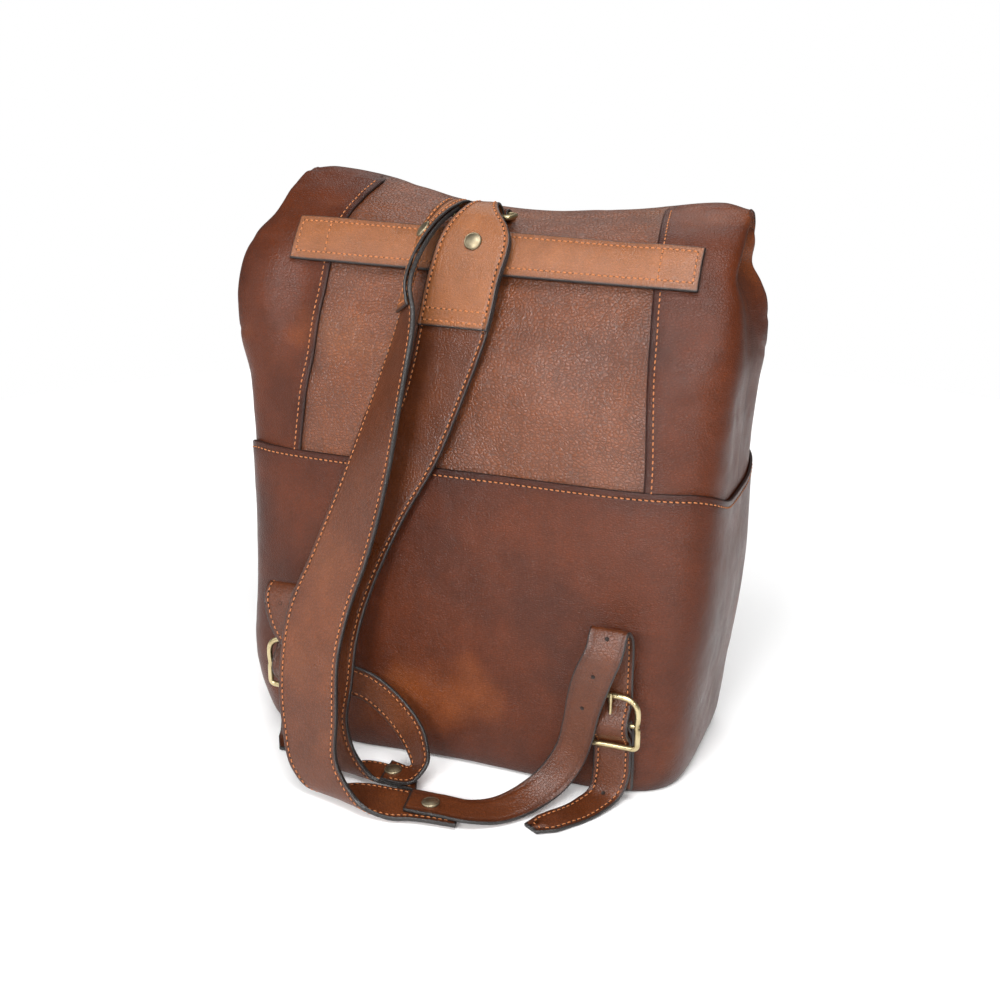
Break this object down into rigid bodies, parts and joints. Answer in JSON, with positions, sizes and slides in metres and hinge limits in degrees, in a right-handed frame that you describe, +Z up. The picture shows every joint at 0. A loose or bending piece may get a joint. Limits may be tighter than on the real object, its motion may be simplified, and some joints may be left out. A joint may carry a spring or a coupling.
{
  "type": "leather backpack",
  "caption": "Soft leather backpack with a fold-over top, buckled front closure, back luggage strip and shoulder straps that hang from a brass ring.",
  "frame": {"origin": "middle of the base's underside, level with the floor it stands on", "axes": "+Z up the bag, +Y towards the wearer's back and the shoulder straps, -Y towards the closure, +X towards the wearer's right when the bag is worn"},
  "size_m": [0.3581, 0.2856, 0.3963],
  "materials": {
    "body_leather": "waxed full-grain leather with a soft sheen",
    "strap_leather": "waxed strap leather with dark painted edges",
    "light_leather": "smooth lighter tan leather with dark painted edges",
    "lining_cloth": "woven cotton",
    "antique_brass": "antique brass, lightly polished"
  },
  "bodies": {
    "bag": {"lower_panel": "body_leather", "lining": "lining_cloth", "back_panel": "body_leather", "left_side_panel": "body_leather", "right_side_panel": "body_leather", "front_panel": "body_leather", "base_panel": "body_leather", "luggage_strip": "light_leather", "top_ring": "antique_brass", "ring_tab": "strap_leather", "outer_strap_narrow": "strap_leather", "outer_buckle_frame": "antique_brass", "outer_buckle_chape": "strap_leather", "inner_strap_narrow": "strap_leather", "inner_buckle_frame": "antique_brass", "inner_buckle_chape": "strap_leather", "closure_snap_stud": "antique_brass", "closure_stud_patch": "strap_leather"},
    "mouth": {"folded_mouth": "body_leather", "closure_strap": "strap_leather", "closure_tab": "strap_leather", "closure_buckle_frame": "antique_brass", "closure_snap_cap": "antique_brass"},
    "outer_strap": {"outer_strap_wide": "strap_leather", "outer_strap_patch": "light_leather", "outer_strap_top_rivet": "antique_brass", "outer_strap_end_rivet": "antique_brass"},
    "inner_strap": {"inner_strap_wide": "strap_leather", "inner_strap_patch": "light_leather", "inner_strap_top_rivet": "antique_brass", "inner_strap_end_rivet": "antique_brass"},
    "outer_prong": {"outer_buckle_prong": "antique_brass"},
    "inner_prong": {"inner_buckle_prong": "antique_brass"},
    "closure_prong": {"closure_buckle_prong": "antique_brass"}
  },
  "joints": [
    {"name": "mouth_unfold", "type": "hinge", "parent": "bag", "child": "mouth", "pos_m": [0.003, -0.0495, 0.387], "axis": [-0.9992, 0, -0.0411], "range_deg": [0, 150]},
    {"name": "outer_strap_lift", "type": "hinge", "parent": "bag", "child": "outer_strap", "pos_m": [0.022, -0.008, 0.3738], "axis": [1, 0, 0], "range_deg": [0, 15], "deforming": ["outer_strap_narrow"]},
    {"name": "inner_strap_lift", "type": "hinge", "parent": "bag", "child": "inner_strap", "pos_m": [0.022, -0.008, 0.3738], "axis": [1, 0, 0], "range_deg": [0, 15], "deforming": ["inner_strap_narrow"]},
    {"name": "outer_prong_turn", "type": "hinge", "parent": "bag", "child": "outer_prong", "pos_m": [-0.1185, 0.1015, 0.062], "axis": [-1, 0, 0], "range_deg": [0, 30]},
    {"name": "inner_prong_turn", "type": "hinge", "parent": "bag", "child": "inner_prong", "pos_m": [0.12, 0.1015, 0.062], "axis": [-1, 0, 0], "range_deg": [0, 30]},
    {"name": "closure_prong_turn", "type": "hinge", "parent": "mouth", "child": "closure_prong", "pos_m": [0, -0.0985, 0.23], "axis": [-1, 0, 0], "range_deg": [0, 30]}
  ],
  "couplings": [
    {"joint": "inner_strap_lift", "follows": "outer_strap_lift", "ratio": 1}
  ]
}
